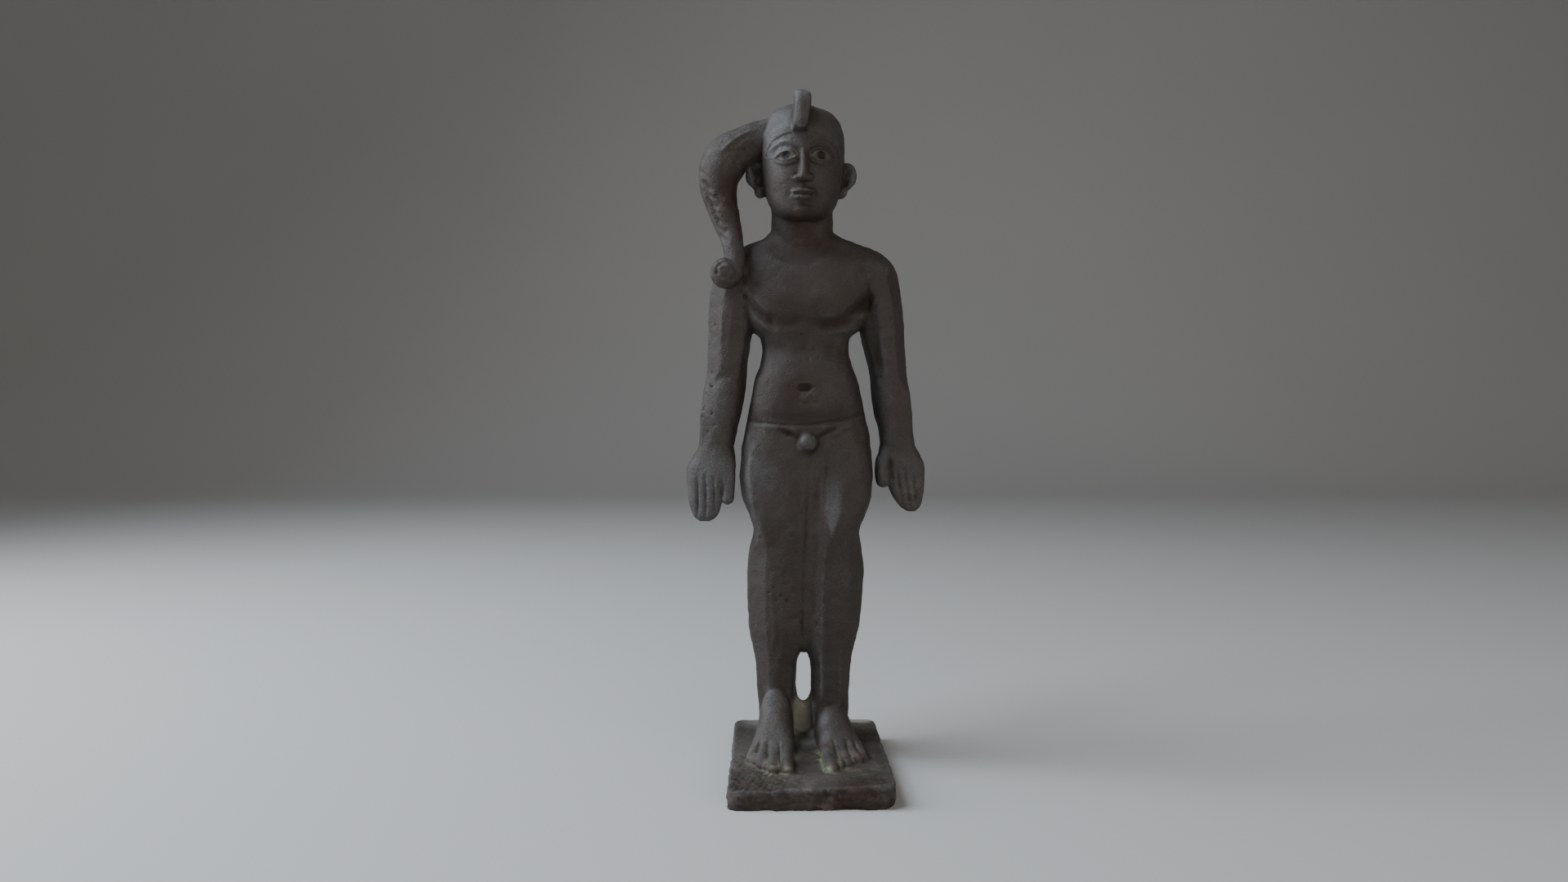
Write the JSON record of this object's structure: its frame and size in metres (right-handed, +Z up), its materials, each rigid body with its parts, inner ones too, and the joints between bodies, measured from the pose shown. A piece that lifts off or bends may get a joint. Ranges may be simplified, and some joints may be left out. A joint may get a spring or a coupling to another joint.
{
  "type": "egyptian deity figurine",
  "caption": "Standing child-god figurine with a sidelock and a worn cobra on the brow, arms at the sides, cast in one with its rectangular plinth.",
  "frame": {"origin": "middle of the plinth's underside", "axes": "+Z up; the figure faces -Y and its right side is -X"},
  "size_m": [0.0763, 0.0624, 0.2101],
  "materials": {
    "dark_bronze": "dark patina, softly worn"
  },
  "bodies": {
    "root": {"figurine": "dark_bronze"}
  },
  "joints": []
}
